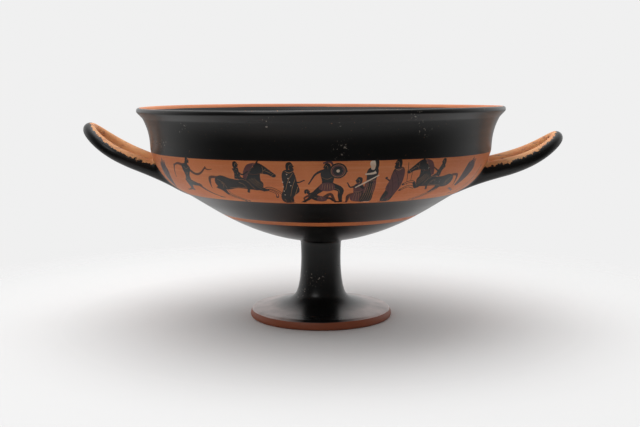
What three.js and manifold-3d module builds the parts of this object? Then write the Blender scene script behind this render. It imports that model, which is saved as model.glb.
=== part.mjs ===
// A kylix: a wide, shallow wine cup of fired clay on a stemmed foot, with two
// horizontal loop handles that sweep up and out from the bowl.
// The potter threw the bowl and the foot, pulled the handles, and joined them
// all with slip before the firing, so the finished cup is one solid: `kylix`.
//
// Millimetres, +Z up. The origin is on the floor, under the middle of the foot.
// The handles point along -X and +X.

import * as THREE from 'three';
import { mergeVertices } from 'three/addons/utils/BufferGeometryUtils.js';
import Module from 'manifold-3d';

// ---- Driving dimensions ------------------------------------------------------

const RIM_RADIUS = 140; // the widest ring of the lip
const RIM_HEIGHT = 163.4; // the crest of the lip
const LIP_FOOT = { radius: 129.7, height: 130.4 }; // where the lip rises from the bowl
const LIP_TOP = { radius: 136.8, height: 157.7 }; // the underside of the lip's edge
const SHOULDER = { radius: 107.9, height: 101.3 }; // where the bowl turns up
const STEM_TOP = { radius: 15.9, height: 60.4 }; // where the bowl meets the stem
const STEM_FOOT = { radius: 20, height: 16.9 }; // where the stem spreads into the disc
const DISC_EDGE = { radius: 53.2, height: 7.3 }; // the sharp upper edge of the foot
const FOOT_RADIUS = 55.2; // the foot's bulging rim, its widest ring
const RESTING_RING = { inner: 45, outer: 54.2 }; // the flat ring that the cup stands on

const LIP_WALL = 4.2; // thickness of the lip
const BOWL_WALL = 4.8; // thickness of the bowl
const FLOOR_HEIGHT = 66; // the inside of the bowl, over the stem
const HOLLOW_HEIGHT = 34; // how far the foot's hollow runs up into the stem

const RIM_TILT = 0.65; // the rim is a little out of true: higher at the +X side ...
const RIM_TWIST = 0.43; // ... and twisted, which levels it again at the +Y side

// Each handle is a U of round clay lying in a sheet that curves upward:
// height = rootHeight + slope * run + tipLift * (run / full run)^LIFT_POWER.
const HANDLE_ROOT = 100; // distance of the roots from the axis, inside the bowl's wall
const HANDLE_HALF_GAP = { root: 19.5, loop: 22.5 }; // middle of the cup to middle of an arm
const HANDLES = [
  {
    side: -1,
    reach: 178,
    bend: 27.5,
    rootHeight: 109,
    slope: 0.31,
    tipLift: 13.6,
    radius: { root: 11.5, arm: 5.7, tip: 4.9 },
  },
  {
    side: 1,
    reach: 181.7,
    bend: 37.5,
    rootHeight: 110,
    slope: 0.19,
    tipLift: 13.7,
    radius: { root: 12.1, arm: 6.6, tip: 4.7 },
  },
];
const ROOT_NARROWING = 0.6; // the roots are pressed flat: their width over their height
const ROOT_FLARE = 40; // run over which a root thins to the arm's radius
const LIFT_POWER = 4; // how late a handle's tip curls up

const AROUND = 64; // facets around the axis
const ROD_SIDES = 12; // facets around a handle's rod
const ARM_STEPS = 10; // rings along each straight arm of a handle
const BEND_STEPS = 14; // rings around the end of a handle

// ---- The outline of the cup ----------------------------------------------------

function point(place) {
  return new THREE.Vector2(place.radius, place.height);
}

// Points along a cubic curve, without its first one, so that curves can be chained.
function curve(start, startPull, endPull, end, steps) {
  const bezier = new THREE.CubicBezierCurve(
    start,
    new THREE.Vector2(...startPull),
    new THREE.Vector2(...endPull),
    end,
  );
  return bezier.getPoints(steps).slice(1);
}

// The outside of the wall, from the stem up to the underside of the lip's edge.
function outerWall() {
  return [
    point(STEM_TOP),
    ...curve(point(STEM_TOP), [61.6, 67.4], [86.9, 89.8], point(SHOULDER), 7),
    ...curve(point(SHOULDER), [121.5, 108.7], [127.6, 121.5], point(LIP_FOOT), 5),
    ...curve(point(LIP_FOOT), [130.8, 134.6], [128.8, 144], point(LIP_TOP), 6),
  ];
}

// The wall's outline moved inward, square to itself, by its thickness.
function innerWall(outside) {
  return outside.map((here, i) => {
    const before = outside[Math.max(i - 1, 0)];
    const after = outside[Math.min(i + 1, outside.length - 1)];
    const along = after.clone().sub(before).normalize();
    const inLip = here.y > LIP_FOOT.height;
    const thickness = inLip ? LIP_WALL : BOWL_WALL;
    return new THREE.Vector2(here.x - along.y * thickness, here.y + along.x * thickness);
  });
}

// The rounded, three-sided edge of the lip, from its outside over the crest to its inside.
function lipEdge() {
  return [
    new THREE.Vector2(RIM_RADIUS - 0.5, RIM_HEIGHT - 3.7),
    new THREE.Vector2(RIM_RADIUS, RIM_HEIGHT - 2.8),
    new THREE.Vector2(RIM_RADIUS - 0.3, RIM_HEIGHT - 0.8),
    new THREE.Vector2(RIM_RADIUS - 1.8, RIM_HEIGHT),
    new THREE.Vector2(RIM_RADIUS - 4.2, RIM_HEIGHT - 0.7),
    new THREE.Vector2(RIM_RADIUS - 5.8, RIM_HEIGHT - 2.6),
  ];
}

// The stem and the foot, from the top of the stem out to the disc's edge.
function stemAndFoot() {
  return [
    ...curve(point(STEM_TOP), [14.5, 42.9], [16.1, 21.9], point(STEM_FOOT), 7),
    ...curve(point(STEM_FOOT), [23, 12.8], [30, 10.6], point(DISC_EDGE), 5),
    new THREE.Vector2(FOOT_RADIUS - 0.4, 4.4),
    new THREE.Vector2(FOOT_RADIUS, 1.6),
    new THREE.Vector2(RESTING_RING.outer, 0),
  ];
}

// Under the foot: the resting ring's inner edge, then the hollow that runs up the stem.
function footHollow() {
  const ringInside = new THREE.Vector2(RESTING_RING.inner, 0);
  const underDisc = new THREE.Vector2(RESTING_RING.inner - 3, 3.2);
  const throat = new THREE.Vector2(9, 20);
  return [
    ringInside,
    underDisc,
    ...curve(underDisc, [30, 5.6], [13, 7], throat, 5),
    new THREE.Vector2(6, HOLLOW_HEIGHT - 4),
    new THREE.Vector2(0, HOLLOW_HEIGHT),
  ];
}

function turned(outline) {
  const geometry = new THREE.LatheGeometry(outline, AROUND);
  geometry.rotateX(Math.PI / 2); // three.js turns about Y; the cup stands on Z
  return geometry;
}

function cupGeometry() {
  const outside = outerWall();
  const inside = innerWall(outside).slice(1);
  return turned([
    new THREE.Vector2(0, HOLLOW_HEIGHT),
    ...footHollow().reverse().slice(1),
    ...stemAndFoot().reverse(),
    ...outside,
    ...lipEdge(),
    ...inside.reverse(),
    new THREE.Vector2(STEM_TOP.radius, FLOOR_HEIGHT + 0.4),
    new THREE.Vector2(0, FLOOR_HEIGHT),
  ]);
}

// A solid that fills the bowl up to the middle of its wall. It trims the handles'
// roots, so that they end inside the clay.
function bowlFilling() {
  const outside = outerWall();
  const inside = innerWall(outside);
  const middle = outside.map((here, i) => here.clone().lerp(inside[i], 0.5));
  return turned([
    new THREE.Vector2(0, middle[0].y),
    ...middle,
    new THREE.Vector2(0, middle[middle.length - 1].y),
  ]);
}

// ---- The handles ---------------------------------------------------------------

// The plan of one handle: [distance from the axis, distance from the middle plane].
function handlePlan(handle) {
  const plan = [];
  const bendStart = handle.reach - handle.bend;
  for (let i = 0; i < ARM_STEPS; i += 1) {
    const t = i / ARM_STEPS;
    const spread = Math.sin((t * Math.PI) / 2);
    const gap = THREE.MathUtils.lerp(HANDLE_HALF_GAP.root, HANDLE_HALF_GAP.loop, spread);
    plan.push([THREE.MathUtils.lerp(HANDLE_ROOT, bendStart, t), gap]);
  }
  for (let i = 0; i <= BEND_STEPS; i += 1) {
    const angle = (i / BEND_STEPS) * Math.PI;
    const out = bendStart + handle.bend * Math.sin(angle);
    plan.push([out, HANDLE_HALF_GAP.loop * Math.cos(angle)]);
  }
  for (let i = ARM_STEPS - 1; i >= 0; i -= 1) {
    plan.push([plan[i][0], -plan[i][1]]);
  }
  return plan;
}

function rodRadius(handle, run) {
  const { root, arm, tip } = handle.radius;
  const flare = Math.max(0, 1 - run / ROOT_FLARE) ** 2;
  const onward = Math.max(0, run - ROOT_FLARE) / (handle.reach - HANDLE_ROOT - ROOT_FLARE);
  return THREE.MathUtils.lerp(arm, tip, onward) + (root - arm) * flare;
}

// One U-shaped rod: oval rings along the plan, closed by a flat cap at each root.
function handleGeometry(handle) {
  const plan = handlePlan(handle);
  const fullRun = handle.reach - HANDLE_ROOT;
  const height = (run) =>
    handle.rootHeight + handle.slope * run + handle.tipLift * (run / fullRun) ** LIFT_POWER;
  const places = plan.map(
    ([out, across]) => new THREE.Vector3(handle.side * out, across, height(out - HANDLE_ROOT)),
  );
  const positions = [];
  places.forEach((place, ring) => {
    const before = places[Math.max(ring - 1, 0)];
    const after = places[Math.min(ring + 1, places.length - 1)];
    const along = after.clone().sub(before).normalize();
    const run = plan[ring][0] - HANDLE_ROOT;
    const curl = (LIFT_POWER * (run / fullRun) ** (LIFT_POWER - 1)) / fullRun;
    const steepness = handle.slope + handle.tipLift * curl;
    const up = new THREE.Vector3(-handle.side * steepness, 0, 1).normalize();
    const aside = along.clone().cross(up).normalize();
    const tall = rodRadius(handle, run);
    const pressed = Math.max(0, 1 - run / ROOT_FLARE) * (1 - ROOT_NARROWING);
    const wide = tall * (1 - pressed);
    for (let i = 0; i < ROD_SIDES; i += 1) {
      const angle = (i / ROD_SIDES) * 2 * Math.PI;
      const corner = place
        .clone()
        .addScaledVector(aside, wide * Math.cos(angle))
        .addScaledVector(up, tall * Math.sin(angle));
      positions.push(corner.x, corner.y, corner.z);
    }
  });
  const triangles = [];
  for (let ring = 0; ring < places.length - 1; ring += 1) {
    for (let i = 0; i < ROD_SIDES; i += 1) {
      const a = ring * ROD_SIDES + i;
      const b = ring * ROD_SIDES + ((i + 1) % ROD_SIDES);
      triangles.push(a, a + ROD_SIDES, b, b, a + ROD_SIDES, b + ROD_SIDES);
    }
  }
  const lastRing = (places.length - 1) * ROD_SIDES;
  for (let i = 1; i < ROD_SIDES - 1; i += 1) {
    triangles.push(0, i, i + 1, lastRing, lastRing + i + 1, lastRing + i);
  }
  const geometry = new THREE.BufferGeometry();
  geometry.setAttribute('position', new THREE.Float32BufferAttribute(positions, 3));
  geometry.setIndex(triangles);
  return geometry;
}

// ---- Joining -------------------------------------------------------------------

const wasm = await Module();
wasm.setup();

// A closed geometry as a solid that can be joined and cut.
function solid(geometry) {
  const bare = geometry.clone();
  bare.deleteAttribute('normal');
  bare.deleteAttribute('uv');
  const merged = mergeVertices(bare, 1e-4);
  const corners = merged.index.array;
  const kept = [];
  for (let i = 0; i < corners.length; i += 3) {
    const [a, b, c] = corners.slice(i, i + 3);
    if (a !== b && b !== c && c !== a) {
      kept.push(a, b, c); // the triangles that shrink to nothing on the axis are dropped
    }
  }
  const mesh = new wasm.Mesh({
    numProp: 3,
    vertProperties: new Float32Array(merged.attributes.position.array),
    triVerts: new Uint32Array(kept),
  });
  return new wasm.Manifold(mesh);
}

// The rim of the thrown bowl is slightly out of true. Nothing below the bowl moves.
function outOfTrue(geometry) {
  const position = geometry.attributes.position;
  for (let i = 0; i < position.count; i += 1) {
    const across = position.getX(i) / RIM_RADIUS;
    const deep = position.getY(i) / RIM_RADIUS;
    const height = position.getZ(i);
    const above = Math.max(0, (height - STEM_TOP.height) / (RIM_HEIGHT - STEM_TOP.height));
    const lift = RIM_TILT * across - 2 * RIM_TWIST * across * deep;
    position.setZ(i, height + lift * above ** 2);
  }
}

function kylixGeometry() {
  const filling = solid(bowlFilling());
  let cup = solid(cupGeometry());
  for (const handle of HANDLES) {
    cup = cup.add(solid(handleGeometry(handle)).subtract(filling));
  }
  const mesh = cup.getMesh();
  const geometry = new THREE.BufferGeometry();
  geometry.setAttribute('position', new THREE.BufferAttribute(mesh.vertProperties, 3));
  geometry.setIndex(new THREE.BufferAttribute(mesh.triVerts, 1));
  outOfTrue(geometry);
  geometry.computeVertexNormals();
  return geometry;
}

// ---- The object ----------------------------------------------------------------

const blackGlazedClay = new THREE.MeshStandardMaterial({
  color: 0x1b1918,
  roughness: 0.3,
  metalness: 0,
});

const kylix = new THREE.Mesh(kylixGeometry(), blackGlazedClay);
kylix.name = 'kylix';

const cup = new THREE.Group();
cup.add(kylix);

export default cup;
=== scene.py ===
"""A painted kylix: a wide, shallow wine cup of orange clay under black gloss.

The cup was thrown, joined and fired as one thing, so it is one piece here too,
`kylix_cup`: a closed mesh that repeats the outline of the CAD solid with finer
curves, and that is cut along the edges of everything the painter painted.
Sizes are in the CAD model's millimetres; MM turns them into metres.
"""

import math
import random

import bpy
import numpy as np
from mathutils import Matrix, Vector
from mathutils.geometry import delaunay_2d_cdt


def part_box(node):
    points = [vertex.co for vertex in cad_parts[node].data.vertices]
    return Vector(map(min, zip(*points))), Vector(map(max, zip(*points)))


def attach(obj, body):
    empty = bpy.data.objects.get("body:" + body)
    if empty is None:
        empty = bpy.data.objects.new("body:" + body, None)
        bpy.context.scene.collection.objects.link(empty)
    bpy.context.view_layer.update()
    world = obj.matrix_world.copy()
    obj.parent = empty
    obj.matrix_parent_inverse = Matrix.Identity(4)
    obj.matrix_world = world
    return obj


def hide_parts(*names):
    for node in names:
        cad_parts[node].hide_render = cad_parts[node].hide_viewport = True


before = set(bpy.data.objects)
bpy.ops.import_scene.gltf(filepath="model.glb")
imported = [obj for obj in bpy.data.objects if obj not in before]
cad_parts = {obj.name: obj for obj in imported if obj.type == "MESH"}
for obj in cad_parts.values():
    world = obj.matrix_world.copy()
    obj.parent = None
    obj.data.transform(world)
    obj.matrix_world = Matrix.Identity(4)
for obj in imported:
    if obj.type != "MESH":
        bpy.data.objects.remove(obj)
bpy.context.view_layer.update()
cup_low, cup_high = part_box("kylix")

# ---- Driving dimensions, as the CAD model names them ---------------------------

RIM_RADIUS = 140.0
RIM_HEIGHT = 163.4
LIP_FOOT = (129.7, 130.4)
LIP_TOP = (136.8, 157.7)
SHOULDER = (107.9, 101.3)
STEM_TOP = (15.9, 60.4)
STEM_FOOT = (20.0, 16.9)
DISC_EDGE = (53.2, 7.3)
FOOT_RADIUS = 55.2
RESTING_RING = (45.0, 54.2)
FLOOR_HEIGHT = 66.0
HOLLOW_HEIGHT = 34.0
LIP_WALL = 4.2
BOWL_WALL = 4.8
RIM_TILT = 0.65
RIM_TWIST = 0.43

HANDLE_ROOT = 100.0
HALF_GAP_ROOT = 19.5
HALF_GAP_LOOP = 22.5
ROOT_NARROWING = 0.6
ROOT_FLARE = 40.0
LIFT_POWER = 4
HANDLES = [
    dict(side=-1, reach=178.0, bend=27.5, root_height=109.0, slope=0.31, tip_lift=13.6,
         radii=(11.5, 5.7, 4.9)),
    dict(side=1, reach=181.7, bend=37.5, root_height=110.0, slope=0.19, tip_lift=13.7,
         radii=(12.1, 6.6, 4.7)),
]

MM = (cup_high.y - cup_low.y) / 2 / RIM_RADIUS  # metres in one of the model's millimetres

# The painted band runs round the upper bowl, under the lip. Its pictures are laid
# out flat: across is measured round the cup at BAND_RADIUS, up from its lower edge.
BAND_HEIGHT = 39.4
BAND_RADIUS = 121.0
BAND_MARGIN = 8.0  # the finely cut part of the wall starts this far below the band
STRIPE = (71.4, 78.0)  # the reserved stripe, measured down the wall from the lip's foot
AROUND = 240  # mesh columns around the cup
SEAM = -math.pi / 2  # the angle where the unrolled wall is cut, between the left roots

# ---- The outline -----------------------------------------------------------------


def bezier(start, start_pull, end_pull, end, steps=60):
    t = np.linspace(0, 1, steps + 1)[:, None]
    a, b, c, d = (np.array(p, float) for p in (start, start_pull, end_pull, end))
    return (1 - t) ** 3 * a + 3 * (1 - t) ** 2 * t * b + 3 * (1 - t) * t**2 * c + t**3 * d


def spline(points, steps=8, closed=False):
    """A smooth curve through the points (Catmull-Rom)."""
    p = np.array(points, float)
    if closed:
        p = np.vstack([p[-1], p, p[0], p[1]])
    else:
        p = np.vstack([2 * p[0] - p[1], p, 2 * p[-1] - p[-2]])
    t = np.linspace(0, 1, steps, endpoint=False)[:, None]
    runs = []
    for a, b, c, d in zip(p, p[1:], p[2:], p[3:]):
        runs.append(b + 0.5 * t * (c - a + t * (2 * a - 5 * b + 4 * c - d
                                                + t * (3 * (b - c) + d - a))))
    if not closed:
        runs.append(p[-2:-1])
    return np.vstack(runs)


def arc_lengths(line):
    steps = np.linalg.norm(np.diff(line, axis=0), axis=1)
    return np.concatenate([[0], np.cumsum(steps)])


def shortened(line, distance):
    """The line without its last stretch of that length."""
    arc = arc_lengths(line)
    stop = arc[-1] - distance
    last = [np.interp(stop, arc, line[:, i]) for i in (0, 1)]
    return np.vstack([line[arc < stop - 1e-6], last])


def rounded(first, second, reach):
    """Two lines that meet in a corner, joined by a small arc instead."""
    corner = second[0]
    first = shortened(first, reach)
    second = shortened(second[::-1], reach)[::-1]
    t = np.linspace(0, 1, 8)[1:-1, None]
    arc = (1 - t) ** 2 * first[-1] + 2 * (1 - t) * t * corner + t**2 * second[0]
    return np.vstack([first, arc, second])


def outer_wall():
    lower = bezier(STEM_TOP, (61.6, 67.4), (86.9, 89.8), SHOULDER)
    upper = bezier(SHOULDER, (121.5, 108.7), (127.6, 121.5), LIP_FOOT)
    lip = bezier(LIP_FOOT, (130.8, 134.6), (128.8, 144.0), LIP_TOP)
    return np.vstack([lower, upper[1:], lip[1:]])


def inner_wall(outside):
    along = np.gradient(outside, axis=0)
    along /= np.linalg.norm(along, axis=1)[:, None]
    thickness = np.interp(outside[:, 1], [LIP_FOOT[1] - 6, LIP_FOOT[1] + 6],
                          [BOWL_WALL, LIP_WALL])[:, None]
    inside = outside + np.stack([-along[:, 1], along[:, 0]], axis=1) * thickness
    return inside[inside[:, 0] > STEM_TOP[0] + 6]


def lip_edge():
    """Over the crest, from the outside of the lip to its inside."""
    drops = [(0.5, 3.7), (0.0, 2.8), (0.3, 0.8), (1.8, 0.0), (4.2, 0.7), (5.8, 2.6)]
    return np.array([(RIM_RADIUS - across, RIM_HEIGHT - down) for across, down in drops])


def outline():
    """From the top of the foot's hollow, over the outside and the lip, to the floor."""
    wall = outer_wall()
    throat = (9.0, 20.0)
    under_disc = (RESTING_RING[0] - 3, 3.2)
    hollow = np.vstack([
        spline([(0, HOLLOW_HEIGHT), (3.4, HOLLOW_HEIGHT - 1.2), (6, HOLLOW_HEIGHT - 4), throat])[:-1],
        bezier(throat, (13, 7), (30, 5.6), under_disc),
    ])
    step = np.array([under_disc, (RESTING_RING[0], 0)])
    rest = np.array([(RESTING_RING[0], 0), (RESTING_RING[1], 0)])
    edge = spline([(RESTING_RING[1], 0), (FOOT_RADIUS, 1.6), (FOOT_RADIUS - 0.4, 4.4), DISC_EDGE])
    disc = bezier(DISC_EDGE, (30, 10.6), (23, 12.8), STEM_FOOT)
    stem = bezier(STEM_FOOT, (16.1, 21.9), (14.5, 42.9), STEM_TOP)
    top = spline(np.vstack([wall[-4:-3], lip_edge(), inner_wall(wall)[-4:-3]]))[8:-8]
    inside = inner_wall(wall)[::-1]
    floor = bezier(inside[-1], (15.9, FLOOR_HEIGHT + 0.5), (8, FLOOR_HEIGHT), (0, FLOOR_HEIGHT))
    line = hollow
    for run, corner in [(step, 1.5), (rest, 1.0), (edge, 0.5), (disc, 0.5)]:
        line = rounded(line, run, corner)
    line = np.vstack([line, stem[1:]])
    line = rounded(line, wall, 2.2)
    return np.vstack([line[:-3], top, inside[3:], floor[1:]])


LINE = outline()
ARC = arc_lengths(LINE)


def tidy_line():
    """The outline at even steps, smoothed a little, with its normals."""
    arc = np.linspace(0, ARC[-1], int(ARC[-1] / 0.2))
    line = np.stack([np.interp(arc, ARC, LINE[:, i]) for i in (0, 1)], axis=1)
    soft = line.copy()
    for _ in range(6):
        soft[1:-1] = (soft[:-2] + 2 * soft[1:-1] + soft[2:]) / 4
    along = np.gradient(soft, axis=0)
    along /= np.linalg.norm(along, axis=1)[:, None]
    normal = np.stack([along[:, 1], -along[:, 0]], axis=1)
    normal[0] = (0, -1)
    normal[-1] = (0, 1)
    return arc, soft, normal


ARC, LINE, NORMAL = tidy_line()


def arc_near(radius, height):
    """Where along the outline it passes nearest to that place."""
    return ARC[np.argmin(np.hypot(LINE[:, 0] - radius, LINE[:, 1] - height))]


LIP_FOOT_ARC = arc_near(*LIP_FOOT)
BAND_LOW = LIP_FOOT_ARC - BAND_HEIGHT
FINE_LOW = BAND_LOW - BAND_MARGIN
STEM_TOP_ARC = arc_near(*STEM_TOP)


def on_surface(angle, arc):
    """Points of the turned surface; the angle is 0 at the front and grows to the right."""
    radius = np.interp(arc, ARC, LINE[:, 0])
    height = np.interp(arc, ARC, LINE[:, 1])
    return np.stack([radius * np.sin(angle), -radius * np.cos(angle), height], axis=-1)


def surface_normal(angle, arc):
    out = np.interp(arc, ARC, NORMAL[:, 0])
    up = np.interp(arc, ARC, NORMAL[:, 1])
    return np.stack([out * np.sin(angle), -out * np.cos(angle), up], axis=-1)


def out_of_true(points):
    """The rim's slight tilt and twist, in place, as in the CAD model."""
    across = points[:, 0] / RIM_RADIUS
    deep = points[:, 1] / RIM_RADIUS
    above = np.maximum(0, (points[:, 2] - STEM_TOP[1]) / (RIM_HEIGHT - STEM_TOP[1]))
    points[:, 2] += (RIM_TILT * across - 2 * RIM_TWIST * across * deep) * above**2


# ---- The parts of the surface ---------------------------------------------------

INKS = ["glaze", "clay", "dilute", "added_red", "added_white", "incision"]


class Surface:
    """Collects the vertices, faces and worn places of the one mesh."""

    def __init__(self):
        self.points = np.zeros((0, 3))
        self.normals = np.zeros((0, 3))  # a zero normal is worked out from the faces
        self.bare = np.zeros(0)  # 1 where the gloss is off, 0 where it is whole
        self.faces = []
        self.inks = []

    def add_points(self, points, normals=None, bare=0.0):
        start = len(self.points)
        points = np.asarray(points, float).reshape(-1, 3)
        normals = np.zeros_like(points) if normals is None else normals.reshape(-1, 3)
        self.points = np.vstack([self.points, points])
        self.normals = np.vstack([self.normals, normals])
        self.bare = np.concatenate([self.bare, np.broadcast_to(bare, len(points))])
        return np.arange(start, start + len(points))

    def add_face(self, corners, ink):
        self.faces.append([int(c) for c in corners])
        self.inks.append(INKS.index(ink))

    def add_strip(self, low, high, ink, flip=False):
        """Faces between two closed rings of as many points each."""
        count = len(low)
        for i in range(count):
            j = (i + 1) % count
            corners = (low[i], low[j], high[j], high[i])
            self.add_face(corners[::-1] if flip else corners, ink)


def wobble(angles, size, seed):
    """A painter's unsteady line: a sum of a few waves round the cup."""
    dice = random.Random(seed)
    total = np.zeros_like(angles)
    for wave in (2, 3, 5, 9, 14, 23, 37):
        total += np.sin(wave * angles + dice.uniform(0, 6.3)) * dice.uniform(0.4, 1) / wave**0.5
    return total * size / 1.6


def paint_zones():
    """[(ink, arc where it ends, ring spacing, unsteadiness of that edge)] along the outline."""
    lip = LIP_FOOT_ARC
    crest = arc_near(RIM_RADIUS - 2.2, RIM_HEIGHT)
    end = ARC[-1]
    return [
        ("clay", arc_near(16, 10.5), 2.2, 0.4),
        ("glaze", arc_near(40, 4), 2.2, 0.3),
        ("clay", arc_near(54.0, 5.9), 1.4, 0.25),
        ("glaze", lip - STRIPE[1], 2.4, 0.22),
        ("clay", lip - STRIPE[0], 2.2, 0.22),
        ("glaze", FINE_LOW, 2.4, 0.0),
        ("fine", lip, 0.0, 0.0),
        ("glaze", crest - 0.1, 0.8, 0.35),
        ("clay", crest + 4.6, 0.8, 0.4),
        ("glaze", end - 15.5, 2.9, 0.15),
        ("clay", end - 14.2, 0.65, 0.15),
        ("glaze", end - 12.8, 0.7, 0.15),
        ("clay", end - 2.6, 2.0, 0.2),
        ("glaze", end, 1.3, 0.0),
    ]


def worn(arc):
    """How far the gloss is rubbed off at rest points along the outline (0 to 1)."""
    crest = arc_near(RIM_RADIUS - 1.6, RIM_HEIGHT)
    foot = arc_near(*DISC_EDGE)
    bare = 0.36 * np.exp(-((arc - crest) / 1.3) ** 2)
    return bare + 0.4 * np.exp(-((arc - foot) / 1.0) ** 2)


def turned_body(surface):
    """The rings of the cup, without the finely cut band, and the band's two borders."""
    angles = SEAM + np.arange(AROUND) / AROUND * 2 * math.pi
    pole = surface.add_points([(0, 0, HOLLOW_HEIGHT)], np.array([(0, 0, -1.0)]))
    previous = None
    borders = []
    start = 0.0
    for zone, (ink, end, spacing, unsteady) in enumerate(paint_zones()):
        if ink == "fine":
            edge = end + wobble(angles, 0.2, 77)
            ring = surface.add_points(on_surface(angles, edge), surface_normal(angles, edge))
            borders = [(previous, np.full(AROUND, start)), (ring, edge)]
            previous, start = ring, end
            continue
        count = max(1, round((end - start) / spacing))
        for i in range(1, count + 1):
            arc = start + (end - start) * i / count
            last = i == count
            if last and ink == "glaze" and end >= ARC[-1] - 1e-6:
                break
            arcs = arc + (wobble(angles, unsteady, zone) if last else 0 * angles)
            ring = surface.add_points(on_surface(angles, arcs), surface_normal(angles, arcs),
                                      worn(arcs))
            if previous is None:
                for k in range(AROUND):
                    surface.add_face((pole[0], ring[(k + 1) % AROUND], ring[k]), ink)
            else:
                surface.add_strip(previous, ring, ink)
            previous = ring
        start = end
    middle = surface.add_points([(0, 0, FLOOR_HEIGHT)], np.array([(0, 0, 1.0)]))
    for k in range(AROUND):
        surface.add_face((previous[k], previous[(k + 1) % AROUND], middle[0]), "glaze")
    return borders


# ---- Handles ---------------------------------------------------------------------

ROD_SIDES = 36
ROD_STEP = 2.2  # distance between rings along a handle
ROOT_FILLET = 3.0  # the slip smoothed into the corner between handle and bowl
FILLET_RINGS = 3
LEVELLING = 6.0  # over this length the slanting rings at the root turn square to the rod
LEVEL_RINGS = 6


def handle_lengths(handle):
    arm = handle["reach"] - handle["bend"] - HANDLE_ROOT
    bend = math.pi / 2 * (handle["bend"] + HALF_GAP_LOOP)
    return arm, bend, 2 * arm + bend


def handle_axis(handle, way):
    """The middle of the rod, for distances along it: points and distance out from the root."""
    arm, bend, full = handle_lengths(handle)
    mirrored = np.where(way > full / 2, -1.0, 1.0)
    way = np.minimum(way, full - way)
    share = np.clip(way / arm, 0, 1)
    angle = np.clip((way - arm) / bend, 0, 0.5) * math.pi
    straight = way < arm
    out = np.where(straight, HANDLE_ROOT + arm * way / arm,
                   HANDLE_ROOT + arm + handle["bend"] * np.sin(angle))
    gap = HALF_GAP_ROOT + (HALF_GAP_LOOP - HALF_GAP_ROOT) * np.sin(share * math.pi / 2)
    across = np.where(straight, gap, HALF_GAP_LOOP * np.cos(angle)) * mirrored
    run = out - HANDLE_ROOT
    full_run = handle["reach"] - HANDLE_ROOT
    height = handle["root_height"] + handle["slope"] * run
    height = height + handle["tip_lift"] * (np.maximum(run, 0) / full_run) ** LIFT_POWER
    return np.stack([handle["side"] * out, across, height], axis=-1), run


def rod_surface(handle, way, turn):
    """Points on the rod: `way` along it, `turn` round its oval section."""
    way, turn = np.broadcast_arrays(way, turn)
    centre, run = handle_axis(handle, way)
    ahead = handle_axis(handle, way + 0.05)[0] - handle_axis(handle, way - 0.05)[0]
    ahead /= np.linalg.norm(ahead, axis=-1)[..., None]
    full_run = handle["reach"] - HANDLE_ROOT
    curl = LIFT_POWER * (np.maximum(run, 0) / full_run) ** (LIFT_POWER - 1) / full_run
    steep = handle["slope"] + handle["tip_lift"] * curl
    up = np.stack([-handle["side"] * steep, 0 * steep, 1 + 0 * steep], axis=-1)
    up /= np.linalg.norm(up, axis=-1)[..., None]
    aside = np.cross(ahead, up)
    root, arm, tip = handle["radii"]
    flare = np.maximum(0, 1 - run / ROOT_FLARE)
    onward = np.maximum(0, run - ROOT_FLARE) / (full_run - ROOT_FLARE)
    tall = arm + (tip - arm) * onward + (root - arm) * flare**2
    wide = tall * (1 - (1 - ROOT_NARROWING) * np.minimum(flare, 1))
    return (centre + aside * (wide * np.cos(turn))[..., None]
            + up * (tall * np.sin(turn))[..., None])


WALL_PART = (ARC > STEM_TOP_ARC + 3) & (ARC < arc_near(*LIP_TOP))


def wall_radius(height):
    return np.interp(height, LINE[WALL_PART, 1], LINE[WALL_PART, 0])


def wall_arc(height):
    return np.interp(height, LINE[WALL_PART, 1], ARC[WALL_PART])


def way_to_depth(handle, turn, gap):
    """How far along the rod each of its lines stands `gap` clear of the bowl's wall."""
    low, high = np.zeros_like(turn), np.full_like(turn, 60.0)
    for _ in range(40):
        middle = (low + high) / 2
        points = rod_surface(handle, middle, turn)
        clear = np.hypot(points[:, 0], points[:, 1]) - wall_radius(points[:, 2]) > gap
        low, high = np.where(clear, low, middle), np.where(clear, middle, high)
    return (low + high) / 2


def unrolled(points):
    """A place on the wall as the flat drawing has it: across and up."""
    angle = np.arctan2(points[:, 0], -points[:, 1])
    angle = np.where(angle < SEAM, angle + 2 * math.pi, angle)
    return np.stack([angle * BAND_RADIUS, wall_arc(points[:, 2]) - BAND_LOW], axis=1)


def root_loops():
    """For each end of each handle: its hole in the wall (flat), its corner and its free length."""
    turn = np.arange(ROD_SIDES) / ROD_SIDES * 2 * math.pi
    roots = []
    for handle in HANDLES:
        full = handle_lengths(handle)[2]
        touching = way_to_depth(handle, turn, 0.0)
        free = way_to_depth(handle, turn, ROOT_FILLET)
        for way in (touching, full - touching):
            corner = rod_surface(handle, way, turn)
            flat = unrolled(corner)
            along = np.roll(flat, -1, axis=0) - np.roll(flat, 1, axis=0)
            out = np.stack([along[:, 1], -along[:, 0]], axis=1)
            out /= np.linalg.norm(out, axis=1)[:, None]
            if np.sum(out * (flat - flat.mean(axis=0))) < 0:
                out = -out
            roots.append(dict(handle=handle, hole=flat + out * ROOT_FILLET, corner=corner,
                              free=free))
    return roots


def handle_bareness(handle, way, turn):
    """The reserved inner and upper side of a handle: 1 inside it, 0 well outside."""
    full = handle_lengths(handle)[2]
    inward = np.cos(turn) * handle["side"]
    upward = np.sin(turn)
    near_tip = np.exp(-(((way - full / 2) / (0.16 * full)) ** 2))
    facing = 0.75 * inward + 0.65 * upward - 0.45 * near_tip
    return np.clip(0.5 + (facing + 0.3) * 0.9, 0, 1)


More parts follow.
